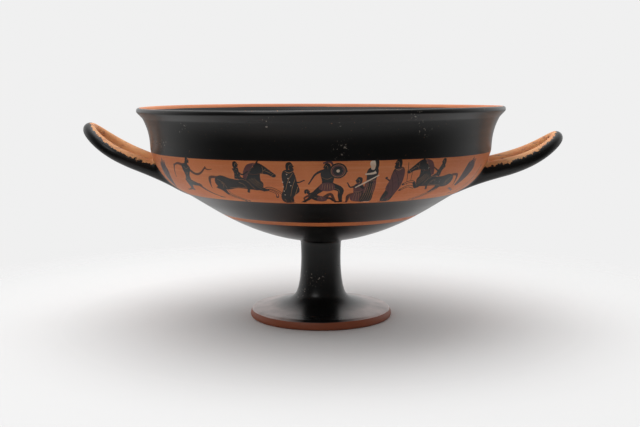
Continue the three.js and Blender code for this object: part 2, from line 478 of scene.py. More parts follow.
def fillet_rings(surface, handle, root, hole, way, steps):
    """Rings between a hole in the wall and the rod, bent round the corner between them."""
    turn = np.arange(ROD_SIDES) / ROD_SIDES * 2 * math.pi
    start = surface.points[hole]
    end = rod_surface(handle, way, turn)
    bare = handle_bareness(handle, root["free"], turn)
    rings = []
    for i in steps:
        t = i / (FILLET_RINGS + 1)
        mixed = (1 - t) ** 2 * start + 2 * (1 - t) * t * root["corner"] + t**2 * end
        rings.append(surface.add_points(mixed, bare=bare))
    return rings


def rods(surface, roots, holes):
    """The handles' skins, sewn to the holes that the wall has for them."""
    turn = np.arange(ROD_SIDES) / ROD_SIDES * 2 * math.pi
    for first, last in zip(range(0, len(roots), 2), range(1, len(roots), 2)):
        handle = roots[first]["handle"]
        full = handle_lengths(handle)[2]
        free = roots[first]["free"]
        steady = free.max() + LEVELLING
        ways = [free + (steady - free) * i / LEVEL_RINGS for i in range(LEVEL_RINGS)]
        count = round((full / 2 - steady) / ROD_STEP)
        ways += [np.full(ROD_SIDES, steady + (full / 2 - steady) * i / count)
                 for i in range(count + 1)]
        ways += [full - way for way in ways[-2::-1]]
        inner = range(1, FILLET_RINGS + 1)
        rings = [holes[first]]
        rings += fillet_rings(surface, handle, roots[first], holes[first], free, inner)
        for way in ways:
            rings.append(surface.add_points(rod_surface(handle, way, turn),
                                            bare=handle_bareness(handle, way, turn)))
        rings += fillet_rings(surface, handle, roots[last], holes[last], full - free, inner[::-1])
        rings.append(holes[last])
        for low, high in zip(rings, rings[1:]):
            surface.add_strip(low, high, "glaze", flip=True)


# ---- The painted band --------------------------------------------------------------


class Pen:
    """Draws closed shapes on the flat band, later ones over earlier ones.

    A pen has its own place, size and facing, so a figure is drawn once, facing right,
    and used again elsewhere.
    """

    def __init__(self, across=0.0, up=0.0, facing=1, size=1.0, shapes=None):
        self.across, self.up, self.facing, self.size = across, up, facing, size
        self.shapes = [] if shapes is None else shapes

    def moved(self, across, up=0.0, facing=1, size=1.0):
        return Pen(across, up, facing, size, self.shapes)

    def keep(self, ink, outline):
        scale = np.array([self.facing * self.size, self.size])
        self.shapes.append((ink, outline * scale + np.array([self.across, self.up])))

    def blob(self, ink, points):
        self.keep(ink, spline(points, 4, closed=True))

    def stroke(self, ink, points, widths):
        """A line whose width changes evenly from each point to the next."""
        middle = spline(points, 4)
        along = np.gradient(middle, axis=0)
        along /= np.linalg.norm(along, axis=1)[:, None]
        aside = np.stack([-along[:, 1], along[:, 0]], axis=1)
        stops = np.linspace(0, 1, len(widths))
        half = np.interp(np.linspace(0, 1, len(middle)), stops, widths)[:, None] / 2
        self.keep(ink, np.vstack([middle + aside * half, (middle - aside * half)[::-1]]))

    def scratch(self, *points, width=0.27):
        """A line cut through the gloss with a point."""
        self.stroke("incision", points, [width * 0.6, width, width * 0.5])

    def dot(self, ink, x, y, radius):
        turns = np.arange(8) / 8 * 2 * math.pi
        self.keep(ink, np.stack([x + radius * np.cos(turns), y + radius * np.sin(turns)], axis=1))

    def dots(self, ink, start, end, count, radius):
        for i in range(count):
            t = i / (count - 1)
            self.dot(ink, start[0] + (end[0] - start[0]) * t, start[1] + (end[1] - start[1]) * t,
                     radius)


# ---- Figures, each drawn facing right; millimetres of the band --------------------

THIN_CUT = 0.26  # the width of the finer incised lines


def head(pen, x, y, skin="glaze", beard=False, size=1.0):
    pen = pen.moved(pen.across + pen.facing * x * pen.size, pen.up + y * pen.size,
                    pen.facing, pen.size * size)
    pen.blob(skin, [(1.4, 1.5), (1.9, 0.4), (2.6, -0.5), (1.9, -1.0), (1.7, -2.1), (0.4, -2.4),
                    (-1.4, -1.2), (-1.2, 1.2)])
    pen.blob("glaze", [(1.5, 1.4), (0.2, 2.7), (-1.9, 2.0), (-2.6, -0.2), (-2.3, -2.8), (-1.0, -2.6),
                       (-0.7, -0.4), (0.2, 0.9)])
    if beard:
        pen.blob("glaze", [(0.2, -1.2), (1.9, -1.4), (2.4, -3.0), (1.2, -3.7), (-0.4, -2.6)])
    pen.scratch((-0.8, -1.6), (-0.4, 0.2), (1.3, 1.3), width=THIN_CUT)
    pen.dot("incision", 1.0, 0.1, 0.22)


def limb(pen, points, thick, ink="glaze"):
    """An arm or a leg: full at the body, thin at the end."""
    widths = [thick * share for share in (1.0, 0.72, 0.5, 0.36)]
    pen.stroke(ink, points, widths)
    (x0, y0), (x1, y1) = points[-2], points[-1]
    length = math.hypot(x1 - x0, y1 - y0)
    pen.dot(ink, x1 + 0.3 * (x1 - x0) / length, y1 + 0.3 * (y1 - y0) / length, thick * 0.26)


def foot(pen, x, y, ink="glaze", long=3.4):
    pen.stroke(ink, [(x - 0.8, y + 0.7), (x + long * 0.4, y + 0.5), (x + long, y + 0.1)],
               [1.5, 1.2, 0.4])


def leg_of_horse(pen, points):
    """A leg as the painter gave it to a fast horse: two dark edges and bare clay between."""
    pen.stroke("glaze", points, [2.8, 2.1, 1.9, 1.9])
    pen.stroke("clay", points, [1.9, 1.1, 0.9, 0.9])
    x, y = points[-1]
    pen.dot("glaze", x, y, 1.0)


def horse(pen, fore, hind, lift=0.0):
    """A galloping horse; the legs are lists of points, and `lift` raises the forehand."""
    for points in hind + fore:
        leg_of_horse(pen, points)
    pen.stroke("dilute", [(-14, 26), (-20.5, 25.8), (-23, 21.5), (-24.6, 15.5)], [2.0, 2.2, 1.7, 0.3])
    pen.blob("glaze", [(-11, 27.8 - lift / 3), (-16.4, 25.6 - lift / 3), (-18.4, 20.6), (-15.8, 16.2),
                       (-9.5, 15.4), (-1, 17.4), (8, 16.6 + lift / 2), (15.2, 16.2 + lift),
                       (18.4, 19.5 + lift), (18.6, 24 + lift), (13, 26.5 + lift),
                       (5, 24.8 + lift / 2), (-4, 25.6)])
    pen.stroke("glaze", [(hind[0][0][0] - 2, 19), hind[0][0], hind[0][1]], [9.5, 4.6, 1.5])
    pen.stroke("glaze", [(14, 20 + lift), fore[0][0], fore[0][1]], [6.5, 3.4, 1.3])
    forehand(pen.moved(pen.across, pen.up + lift * pen.size, pen.facing, pen.size))
    pen.scratch((-15.2, 24.6), (-11.4, 21.4), (-10.4, 16.4))
    pen.scratch((-13.4, 17.2), (-12, 19.6), (-13.2, 22.2))
    pen.scratch((-8, 17), (0, 18.2), (7, 18 + lift / 2), width=THIN_CUT)


def forehand(pen):
    """The horse's neck, head, mane and reins, with the lines cut in them."""
    pen.stroke("glaze", [(12.2, 21), (13.4, 28), (16.0, 34)], [12, 9.2, 6.6])
    pen.blob("glaze", [(14.2, 36.4), (17.6, 38.0), (21.4, 36.0), (26.4, 31.6), (28.6, 29.4),
                       (28.0, 27.9), (26.2, 27.8), (23.4, 29.6), (20.2, 30.2), (16.5, 31)])
    pen.stroke("glaze", [(16.6, 37), (17.2, 38.6), (18.2, 39.7)], [1.6, 1.1, 0.3])
    pen.stroke("added_red", [(6.6, 25.6), (8.6, 31), (11.4, 35.2), (15.6, 37.5)], [2.2, 3.6, 3.6, 1.4])
    for i in range(11):
        t = i / 10
        x = 8.5 + 6.6 * t + 0.9 * math.sin(3.1 * t)
        y = 27.4 + 8.6 * t + 2.2 * math.sin(2.2 * t)
        pen.dot("incision", x, y, 0.24)
    for line in [[(19.6, 30.2), (20.6, 32.6), (20.2, 35.6)],
                 [(25.6, 28.4), (26.4, 29.6), (27.6, 30.1)],
                 [(20.4, 33), (23.4, 31.8), (26.2, 30)],
                 [(9.6, 25.8), (12.6, 21.6), (17.4, 16.8)],
                 [(11.6, 26.6), (14, 22.6), (18.2, 18.6)],
                 [(13.6, 26.8), (15.2, 23.8), (18.8, 20.8)],
                 [(8.6, 24.4), (10.2, 20), (12.2, 16.8)]]:
        pen.scratch(*line)
    pen.dot("incision", 22.0, 33.4, 0.3)
    pen.stroke("dilute", [(20.6, 31.6), (15, 29.5), (8, 30.5)], [0.4, 0.4, 0.4])


def rider(pen, hip, shoulder, hand):
    hx, hy = hip
    sx, sy = shoulder
    limb(pen, [(sx - 0.4, sy - 0.4), ((sx + hand[0]) / 2, min(sy, hand[1]) - 2.2), hand], 2.0)
    pen.stroke("glaze", [(hx - 0.8, hy - 2), ((hx + sx) / 2, (hy + sy) / 2), (sx, sy + 0.8)],
               [5.4, 3.7, 4.6])
    pen.stroke("glaze", [(sx, sy), (sx + 0.5, sy + 2)], [2.2, 1.8])
    head(pen, sx + 0.8, sy + 3.4, size=0.82)
    limb(pen, [(hx, hy - 1.4), (hx + 5, hy - 4.6), (hx + 5, hy - 9), (hx + 3.4, hy - 13)], 4.2)
    pen.scratch((hx - 1.6, hy - 2.4), (hx + 3, hy - 2.2), (hx + 6.6, hy - 5))
    pen.scratch((hx - 1.4, hy - 4.6), (hx + 2, hy - 6.2), (hx + 3.4, hy - 9.6))
    pen.dots("incision", (sx - 1.2, sy + 0.6), (hx - 1.8, hy), 4, 0.24)
    pen.dots("incision", (sx + 0.8, sy - 0.2), (hx + 0.6, hy), 3, 0.24)


def draped(pen, lean=0.0, cloak="added_red", skin="glaze", beard=True, reach=None):
    """A standing figure wrapped in a cloak; `lean` moves the shoulders forward."""
    foot(pen, -2.2, 0.9)
    foot(pen, 1.0, 1.2)
    if reach:
        limb(pen, [(lean, 29.5), ((lean + reach[0]) / 2, min(29, reach[1]) - 1.5), reach], 2.1, skin)
    pen.blob("glaze", [(lean - 2.6, 33.2), (lean - 4.6, 29.5), (lean - 4.4, 20), (-4.6, 10),
                       (-4.2, 2.2), (0.4, 1.6), (3.6, 3.2), (4.4, 10), (lean + 4.6, 19),
                       (lean + 4.2, 28), (lean + 2.2, 33)])
    pen.blob(cloak, [(lean - 2.2, 33), (lean - 4.7, 29), (lean - 4.6, 18), (-3.4, 8.5),
                     (0.6, 5.2), (lean + 2.4, 12), (lean + 5.8, 16.4), (lean + 4.6, 24),
                     (lean + 2.6, 31)])
    head(pen, lean + 0.9, 36.2, skin=skin, beard=beard)
    pen.scratch((lean - 2.4, 32.4), (lean, 31.2), (lean + 2.6, 32.2), width=0.5)
    folds = "glaze" if cloak == "added_red" else "incision"
    for i, (high, low) in enumerate([(31, 17), (26.4, 10.4), (20.4, 8.4)]):
        pen.stroke(folds, [(lean + 2.4 + 1.3 * i, high), (lean - 1 + 2.2 * i, (high + low) / 2 + 1),
                           (lean - 3.6 + 2.4 * i, low)], [0.2, 0.3, 0.2])
    pen.scratch((-2.6, 7), (-2.2, 4.4), (-2.4, 2.2), width=THIN_CUT)
    pen.scratch((1.6, 6.4), (1.8, 4.2), (1.6, 2.2), width=THIN_CUT)


def runner(pen):
    """A youth at a run, knees deeply bent, arms thrown out."""
    limb(pen, [(2.5, 33.4), (-4, 34.8), (-9.5, 33.4)], 2.9, "dilute")
    limb(pen, [(-9.2, 33.8), (-12.4, 29), (-15, 23.6)], 1.6, "dilute")
    limb(pen, [(5, 32.0), (11.5, 27.6), (17.5, 28.8), (23, 33.2)], 2.7, "dilute")
    pen.stroke("dilute", [(22, 32.6), (25.4, 31.8), (28.8, 32.3)], [1.1, 0.8, 0.3])
    limb(pen, [(-0.5, 21.5), (-2, 16.5), (-3.4, 12.6)], 7.0)
    limb(pen, [(-3.0, 13.4), (-8, 11.6), (-12.5, 10.6)], 2.2, "dilute")
    limb(pen, [(-1.5, 20.5), (5, 18.8), (9.8, 17.6)], 7.2)
    limb(pen, [(8.8, 17.9), (15, 11), (22, 6.2)], 2.7, "dilute")
    foot(pen, 22, 4.9, "dilute", 4.2)
    pen.blob("glaze", [(0.4, 34.6), (-0.6, 31), (-0.4, 26), (-3.4, 20.6), (-0.5, 17.8), (3.0, 20.2),
                       (4.2, 25.6), (8.0, 31), (7.6, 33.4), (5, 35.4)])
    pen.stroke("glaze", [(4.6, 34), (5.8, 36.2), (6.6, 37.4)], [2.8, 2.5, 2.8])
    head(pen, 7.2, 37.6, size=0.8)
    pen.scratch((1.6, 33), (3.6, 31.2), (7, 32.6))
    pen.scratch((1.2, 28.0), (2.4, 27.2), (4.2, 28.2), width=0.24)
    pen.scratch((-2, 22), (1, 20.6), (6, 19.8))


def fighter(pen):
    """A helmeted man in a long stride behind a round shield, thrusting downward."""
    limb(pen, [(-1.5, 21), (-9, 17), (-9.4, 10), (-10.5, 3)], 6.4)
    foot(pen, -11, 1.2)
    limb(pen, [(1.5, 21), (8, 14), (12, 8), (17, 2.4)], 6.0)
    foot(pen, 16.4, 1.0)
    pen.blob("glaze", [(-3.4, 33), (-4.4, 28), (-3.6, 22.4), (-4.4, 18), (0, 16.6), (5, 18.4),
                       (3.6, 24), (4.6, 30), (3, 34)])
    pen.blob("added_red", [(-3.6, 22.8), (-5.2, 17.4), (0.2, 15.4), (5.8, 17.8), (3.6, 23)])
    limb(pen, [(-2, 32), (-8, 35.6), (-12, 32.6)], 3.0)
    head(pen, 0.6, 36, size=0.95)
    pen.stroke("added_red", [(3, 38.4), (-1.6, 39.4), (-4, 35.4)], [1.0, 1.9, 0.6])
    for turn in range(-2, 3):
        pen.scratch((turn * 1.5, 22.4), (turn * 1.7, 19.6), (turn * 1.9, 16.8), width=THIN_CUT)
    pen.scratch((-3, 27.8), (0.4, 26.4), (4, 28))
    pen.scratch((-4.4, 18.6), (-8, 16.4), (-8.8, 13))


def shield(pen, x, y, radius):
    turns = np.arange(20) / 20 * 2 * math.pi
    ring = np.stack([np.cos(turns), np.sin(turns)], axis=1)
    centre = np.array([x, y])
    pen.keep("glaze", ring * radius + centre)
    pen.keep("incision", ring * (radius - 1.0) + centre)
    pen.keep("added_red", ring * (radius - 1.32) + centre)
    pen.keep("glaze", ring * (radius - 2.4) + centre)
    pen.dot("added_white", x, y, radius * 0.2)


def fallen(pen):
    """A man brought down, propped on one arm, his knees drawn up."""
    limb(pen, [(5, 9), (9.4, 13.4), (12, 8), (14, 3)], 3.8, "dilute")
    foot(pen, 13.6, 1.4, "dilute")
    limb(pen, [(4, 6.6), (9, 8.4), (12.4, 4.2), (16, 2.6)], 3.4, "glaze")
    pen.blob("glaze", [(-6, 13.6), (-7.4, 10.6), (-2.4, 5.4), (3.6, 3.4), (7, 5.4), (5.6, 9),
                       (0.4, 12), (-3.4, 15)])
    pen.blob("added_red", [(1.2, 11), (-0.4, 5.6), (4, 3.4), (7.2, 5.6), (5.4, 9.6)])
    limb(pen, [(-5.6, 12), (-9.8, 8.4), (-9.4, 2.4)], 2.6, "dilute")
    limb(pen, [(-4, 14), (0.6, 17.6), (5, 18.6)], 2.2, "dilute")
    head(pen, -7.2, 16.2, size=0.85, beard=True)
    pen.scratch((-5.6, 12.6), (-2.4, 9.8), (1.2, 7.4))
    pen.scratch((2, 10.2), (3.2, 7.4), (3.4, 4.6), width=THIN_CUT)


def kneeling(pen):
    """A figure in a red garment, down on one knee."""
    foot(pen, -6.6, 1.4, "dilute")
    limb(pen, [(0, 13), (6.4, 11.6), (6.8, 5.4), (7, 2.2)], 4.4, "dilute")
    foot(pen, 6.6, 1.2, "dilute")
    pen.blob("added_red", [(-0.6, 24.4), (-3.8, 20.6), (-4.8, 14), (-8, 5.4), (-4, 2.4), (2.8, 4),
                           (5.4, 9.6), (3.4, 14), (4.2, 20.8), (2.4, 24)])
    limb(pen, [(0, 22.6), (-4.6, 17.6), (-0.6, 14.4)], 2.6, "glaze")
    limb(pen, [(1, 22.4), (6.2, 20.6), (8.6, 24.4)], 2.3, "glaze")
    head(pen, 0.9, 27, beard=False)
    for i in range(4):
        pen.scratch((-1.6 + i * 1.2, 15.6), (-3.4 + i * 1.9, 9.8), (-5.6 + i * 2.6, 4), width=THIN_CUT)
    pen.scratch((-2.6, 16.8), (0.4, 15.8), (3.4, 16.6))


def woman(pen):
    """White skin over the gloss, a dark gown and a raised arm."""
    foot(pen, -1.4, 1.2, "added_white", 2.6)
    foot(pen, 1.4, 1.0, "added_white", 2.6)
    pen.blob("glaze", [(-1.6, 34), (-3.9, 31), (-3.4, 24), (-4.4, 12), (-4.6, 2.4), (0, 1.6),
                       (4.6, 2.6), (3.8, 12), (3.2, 24), (3.9, 31.4), (1.8, 34)])
    pen.blob("added_red", [(-3.4, 23.6), (-4.2, 14), (-2.2, 13.4), (-1.6, 24)])
    pen.blob("added_red", [(1.4, 24), (1.8, 13.4), (3.8, 14), (3.3, 23.6)])
    pen.stroke("added_white", [(2.2, 30.6), (0.2, 29.6), (-4.8, 29)], [2.0, 1.6, 1.0])
    pen.blob("added_white", [(1.6, 39.1), (-1.6, 38.6), (-2.4, 36.4), (-1.6, 34.6), (-1.2, 32.6),
                             (0.8, 32.4), (1.4, 35)])
    pen.blob("glaze", [(0.4, 39.6), (3.2, 38.8), (3.6, 34.6), (2.6, 31.6), (1.4, 32.4), (1.5, 35.6),
                       (1.0, 38)])
    for i in range(5):
        pen.scratch((-2.6 + i * 1.3, 22), (-3 + i * 1.5, 12), (-3.6 + i * 1.8, 3.4), width=THIN_CUT)
    pen.scratch((-3.4, 24.4), (0, 23.6), (3.2, 24.4))
    pen.dots("incision", (-2.6, 20), (-3.4, 6), 4, 0.26)
    pen.dots("incision", (2.4, 20), (3.6, 6), 4, 0.26)


PETALS = 7


def palmette(pen, base, tip, spread):
    """A sheaf of narrow petals, every second one red, over two small curls at its base."""
    bx, by = base
    reach = math.hypot(tip[0] - bx, tip[1] - by)
    aim = math.atan2(tip[1] - by, tip[0] - bx)
    for i in range(PETALS):
        off = (i / (PETALS - 1) - 0.5) * 2
        turn = aim + off * spread
        long = reach * (1 - 0.16 * abs(off) ** 1.5 - 0.05 * (i % 2))
        places = []
        for share in (0.12 * reach / long, 0.55, 0.85, 1.0):
            bow = off * 0.10 * math.sin(math.pi * share)
            places.append((bx + long * share * math.cos(turn + bow),
                           by + long * share * math.sin(turn + bow)))
        pen.stroke("added_red" if i % 2 else "glaze", places, [1.3, 2.0, 2.2, 0.5])
    for side in (-1, 1):
        turn = aim + side * 1.25
        places = []
        for share in (0.02, 0.1, 0.16, 0.2):
            curled = turn + side * share * 2
            places.append((bx + reach * share * math.cos(curled),
                           by + reach * (share * math.sin(curled) - 0.04)))
        pen.stroke("glaze", places, [1.6, 1.5, 1.1, 0.6])


def tendril(pen, points, curl):
    """A thin stem that ends in a small spiral of that radius."""
    pen.stroke("dilute", points, [0.9, 0.8, 0.7])
    x, y = points[-1]
    coil = []
    for t in range(8):
        radius = curl * (1 - t / 9)
        coil.append((x - curl + radius * math.cos(0.9 * t), y + radius * math.sin(0.9 * t)))
    pen.stroke("dilute", coil, [0.7, 0.6, 0.4])


GALLOP = dict(
    fore=[[(18, 17), (22, 16.6), (26.5, 13.2), (26, 9)], [(17, 16), (23, 18.6), (29, 14.6), (31, 11)]],
    hind=[[(-14, 15), (-12.6, 9.6), (-7.4, 5.2), (-2.4, 1.2)],
          [(-12, 15.6), (-10.2, 10.4), (-5, 6), (0.6, 1.6)]])
LEAP = dict(
    fore=[[(17, 17.6), (21, 22.2), (25, 22.4), (29, 20.6)], [(18, 17), (23, 18.6), (26, 17.6), (29.5, 15)]],
    hind=[[(-4, 15), (0.4, 10.2), (6, 5.6), (12.6, 1.4)], [(-6.5, 15), (-2.4, 10), (3, 5), (8.6, 1)]],
    lift=2.0)


def galloping_horseman(pen):
    horse(pen, **GALLOP)
    rider(pen, hip=(2.6, 27.4), shoulder=(1.4, 33.2), hand=(9.6, 31.4))


def front_side(pen):
    """Two horsemen close in on a fight, watched by standing figures."""
    palmette(pen, (-144, 6), (-127.5, 37.5), spread=0.15)
    tendril(pen, [(-146, 7), (-141, 2.4), (-136, 3.2)], 1.4)
    runner(pen.moved(-102.5))
    galloping_horseman(pen.moved(-57))
    draped(pen.moved(-23.4), lean=3.4, cloak="glaze", reach=(12.4, 25.4))
    pen.dots("added_white", (-21.4, 30), (-19.6, 21), 4, 0.42)
    pen.dots("added_white", (-24.6, 24), (-24.8, 12), 4, 0.42)
    fallen(pen.moved(-2.4, 0.6, size=0.94))
    fighter(pen.moved(4.2, 1.2, -1, 0.96))
    shield(pen, 10.6, 32.6, 5.6)
    limb(pen, [(3.4, 33.6), (-3, 30.6), (-7.6, 23)], 2.3)
    kneeling(pen.moved(25.2, 0.6, -1, 0.92))
    woman(pen.moved(32.6, 1.4, size=0.98))
    pen.stroke("added_white", [(22.6, 19.2), (29, 23.6), (37.2, 29)], [0.9, 1.1, 0.8])
    pen.dot("glaze", 42.7, 26.5, 0.9)
    draped(pen.moved(48.4, 0.4, -1, 1.02), lean=-1.6, reach=(5.4, 25))
    pen.stroke("dilute", [(56.2, 37.4), (57.4, 28), (59, 20)], [0.4, 0.5, 0.3])
    pen.stroke("dilute", [(60.2, 33), (60.8, 26), (61.6, 22.4)], [0.3, 0.4, 0.3])
    horse(pen.moved(84, 0.8, -1, 0.96), **LEAP)
    rider(pen.moved(84, 1.2, -1, 0.96), hip=(2.6, 27.8), shoulder=(-1.8, 33.8), hand=(6.4, 32.6))
    palmette(pen, (110, 12), (121.5, 38.2), spread=0.2)
    tendril(pen, [(139.4, 31), (137, 20), (128, 8), (118, 4.6)], 1.6)


def back_side(pen):
    """The same scheme on the other face, with fewer figures: two halves facing each other."""
    middle = math.pi * BAND_RADIUS

    def at(across, up=0.0, facing=1, size=1.0):
        return pen.moved(middle + across, up, facing, size)

    for facing, plant, watcher, horseman in [(1, -128, -104, -70), (-1, 128, 108, 76)]:
        palmette(at(plant, 0, facing), (-13, 7), (2, 37), spread=0.26)
        tendril(at(plant, 0, facing), [(-14, 7), (-10, 3), (-4, 3.4)], 1.6)
        draped(at(watcher, 0, facing), reach=(8, 27))
        galloping_horseman(at(horseman, 0, facing))
    draped(at(-32), lean=1.0, cloak="glaze")
    fighter(at(-8, 0.8, 1, 0.98))
    shield(at(-8), 6, 29, 6.2)
    fighter(at(18, 0.8, -1, 0.98))
    shield(at(18), -5, 28, 6.0)
    woman(at(40, 1.2, size=0.98))


def signed_area(shape):
    x, y = shape[:, 0], shape[:, 1]
    return 0.5 * np.sum(x * np.roll(y, -1) - y * np.roll(x, -1))


FILLING = 3.2  # distance between the loose points that keep the band's triangles even
BAND_LEFT = SEAM * BAND_RADIUS
BAND_LENGTH = 2 * math.pi * BAND_RADIUS


class FlatBand:
    """The places of the band laid flat, with the surface's own vertex where there is one."""

    def __init__(self):
        self.places = []
        self.known = []

    def put(self, x, y, vertex=None):
        self.places.append(Vector((x, y)))
        self.known.append(vertex)
        return len(self.places) - 1

    def put_all(self, points):
        return [self.put(x, y) for x, y in points]


def put_border(flat, surface, borders):
    """The loop round the flat band: the two rings and both sides of the seam."""
    columns = BAND_LEFT + np.arange(AROUND + 1) / AROUND * BAND_LENGTH
    rows = []
    for ring, arc in borders:
        rows.append([flat.put(columns[k], arc[k % AROUND] - BAND_LOW, ring[k % AROUND])
                     for k in range(AROUND + 1)])
    low, high = rows
    arcs = np.linspace(borders[0][1][0], borders[1][1][0], 16)[1:-1]
    angles = np.full_like(arcs, SEAM)
    seam = surface.add_points(on_surface(angles, arcs), surface_normal(angles, arcs))
    left, right = ([flat.put(x, arc - BAND_LOW, vertex) for arc, vertex in zip(arcs, seam)]
                   for x in (columns[0], columns[-1]))
    return low + right + high[::-1] + left[::-1]


def put_filling(flat, roots):
    """Loose points in staggered rows, away from the handles' holes."""
    middles = [root["hole"].mean(axis=0) for root in roots]
    reaches = [np.ptp(root["hole"], axis=0) / 2 for root in roots]
    tall = BAND_HEIGHT + BAND_MARGIN
    rows = int(tall / (FILLING * 0.87))
    per_row = int(BAND_LENGTH / FILLING)
    for row in range(1, rows):
        y = -BAND_MARGIN + row * tall / rows
        for k in range(per_row):
            x = BAND_LEFT + (k + 0.25 + 0.5 * (row % 2)) * BAND_LENGTH / per_row
            if not any((abs((x, y) - middle) < reach).all()
                       for middle, reach in zip(middles, reaches)):
                flat.put(x, y)


def painted_band(surface, borders, roots, shapes):
    """Cuts the band along every painted edge and sews it to the rings above and below."""
    flat = FlatBand()
    faces = [put_border(flat, surface, borders)]
    holes = []
    for root in roots:
        loop = flat.put_all(root["hole"])
        holes.append(loop)
        faces.append(loop if signed_area(root["hole"]) > 0 else loop[::-1])
    for ink, shape in shapes:
        faces.append(flat.put_all(shape if signed_area(shape) > 0 else shape[::-1]))
    put_filling(flat, roots)

    cut = delaunay_2d_cdt(flat.places, [], faces, 0, 1e-4, True)
    cut_places, _, triangles, origins, _, owners = cut
    vertex_of = {}
    cut_place_of = {}
    for i, sources in enumerate(origins):
        cut_place_of.update((source, i) for source in sources)
        own = [flat.known[source] for source in sources if flat.known[source] is not None]
        if own:
            vertex_of[i] = own[0]
    fresh = [i for i in range(len(origins)) if i not in vertex_of]
    angle = np.array([cut_places[i].x for i in fresh]) / BAND_RADIUS
    arc = np.array([cut_places[i].y for i in fresh]) + BAND_LOW
    vertex_of.update(zip(fresh, surface.add_points(on_surface(angle, arc), surface_normal(angle, arc))))

    first_shape = 1 + len(holes)
    for corners, owner in zip(triangles, owners):
        if 0 in owner and not any(1 <= face < first_shape for face in owner):
            painted = [face - first_shape for face in owner if face >= first_shape]
            ink = shapes[max(painted)][0] if painted else "glaze"
            surface.add_face([vertex_of[corner] for corner in corners], ink)
    return [np.array([vertex_of[cut_place_of[place]] for place in loop]) for loop in holes]


def band_ground():
    """The reserved clay of the band, the whole way round, a little up under the lip."""
    xs = np.linspace(SEAM, SEAM + 2 * math.pi, AROUND + 1) * BAND_RADIUS
    low = wobble(xs / BAND_RADIUS, 0.25, 5)
    top = np.full_like(xs, BAND_HEIGHT + 0.8)
    lower = np.stack([xs, low], axis=1)
    upper = np.stack([xs, top], axis=1)[::-1]
    return [("clay", np.vstack([lower, upper]))]


# ---- Materials -----------------------------------------------------------------


class Graph:
    """A node tree with short ways to add nodes and join them."""

    def __init__(self, tree):
        self.tree = tree
        tree.nodes.clear()

    def add(self, kind, inputs=None, **settings):
        node = self.tree.nodes.new(kind)
        for name, value in settings.items():
            setattr(node, name, value)
        for name, value in (inputs or {}).items():
            if isinstance(value, bpy.types.NodeSocket):
                self.tree.links.new(value, node.inputs[name])
            else:
                node.inputs[name].default_value = value
        return node

    def place(self, stretch):
        """Object coordinates, scaled along each axis: features per metre."""
        where = self.add("ShaderNodeTexCoord").outputs["Object"]
        return self.add("ShaderNodeMapping", {"Vector": where, "Scale": stretch}).outputs[0]

    def noise(self, stretch, detail=3.0, rough=0.55, shift=0.0):
        where = self.place(stretch)
        if shift:
            where = self.add("ShaderNodeVectorMath", {0: where, 1: (shift, shift, shift)}).outputs[0]
        return self.add("ShaderNodeTexNoise", {
            "Vector": where, "Scale": 1.0, "Detail": detail, "Roughness": rough,
        }).outputs["Fac"]

    def levels(self, value, low, high, out_low=0.0, out_high=1.0):
        """The value's range from low to high, spread over another range."""
        return self.add("ShaderNodeMapRange", {
            "Value": value, "From Min": low, "From Max": high,
            "To Min": out_low, "To Max": out_high,
        }).outputs[0]

    def maths(self, operation, a, b):
        return self.add("ShaderNodeMath", {0: a, 1: b}, operation=operation).outputs[0]

    def mix(self, factor, a, b):
        node = self.add("ShaderNodeMix", {"Factor": factor}, data_type="RGBA")
        for socket, value in ((node.inputs[6], a), (node.inputs[7], b)):
            if isinstance(value, bpy.types.NodeSocket):
                self.tree.links.new(value, socket)
            else:
                socket.default_value = (*value, 1.0)
        return node.outputs[2]


CLAY = (0.78, 0.235, 0.072)
CLAY_PALE = (0.88, 0.36, 0.15)
CLAY_DEEP = (0.66, 0.170, 0.046)
CLAY_PAINTED_SHADE_LOW = (0.30, 0.075, 0.028)  # painted shade: the clay darker low on the cup, strongest at the foot's edge
CLAY_BARE_LIT = (0.90, 0.46, 0.19)  # the palest of the unpolished clay on the handles, made paler as painted light from above
PINK_SMEAR = (0.50, 0.20, 0.13)
GREY_SMEAR = (0.09, 0.06, 0.05)
GLOSS = (0.0060, 0.0058, 0.0056)
GLOSS_THIN = (0.016, 0.010, 0.0075)
GLOSS_SPOT = (0.16, 0.07, 0.035)
# partly bloom, partly painted reflection of the bright backdrop on the foot's disc
BLOOM_AND_REFLECTION = (0.80, 0.66, 0.63)
SCUFF = (0.30, 0.26, 0.22)


def clay_colour(graph):
    broad = graph.noise((22, 22, 30), 4)
    streaks = graph.noise((9, 9, 520), 2)
    grain = graph.noise((900, 900, 900), 2)
    colour = graph.mix(graph.levels(broad, 0.35, 0.7), CLAY_DEEP, CLAY)
    colour = graph.mix(graph.levels(streaks, 0.5, 0.75, 0, 0.45), colour, CLAY_PALE)
    colour = graph.mix(graph.levels(grain, 0.55, 0.8, 0, 0.35), colour, CLAY_PALE)
    # painted shade: the clay grows darker towards the bottom of the cup, most at the foot's edge
    height = graph.add("ShaderNodeSeparateXYZ", {0: graph.place((1, 1, 1))}).outputs["Z"]
    return graph.mix(graph.levels(height, 0.01, 0.10), CLAY_PAINTED_SHADE_LOW, colour)


def gloss_colour(graph):
    thin = graph.noise((14, 14, 120), 4)
    spots = graph.noise((700, 700, 700), 2, shift=3.0)
    colour = graph.mix(graph.levels(thin, 0.52, 0.78, 0, 0.8), GLOSS, GLOSS_THIN)
    return graph.mix(graph.levels(spots, 0.72, 0.76), colour, GLOSS_SPOT)


def bare_colour(graph):
    """Unpolished clay, partly paler as painted light from above, with smears of thin gloss, grey and pink,
    drawn out along it.
    """
    grain = graph.noise((160, 160, 160), 4)
    smears = graph.noise((90, 260, 420), 4, 0.65, shift=5.0)
    colour = graph.mix(graph.levels(grain, 0.35, 0.65), CLAY_PALE, CLAY_BARE_LIT)
    colour = graph.mix(graph.levels(smears, 0.56, 0.64, 0, 0.75), colour, PINK_SMEAR)
    return graph.mix(graph.levels(smears, 0.66, 0.70, 0, 0.9), colour, GREY_SMEAR)


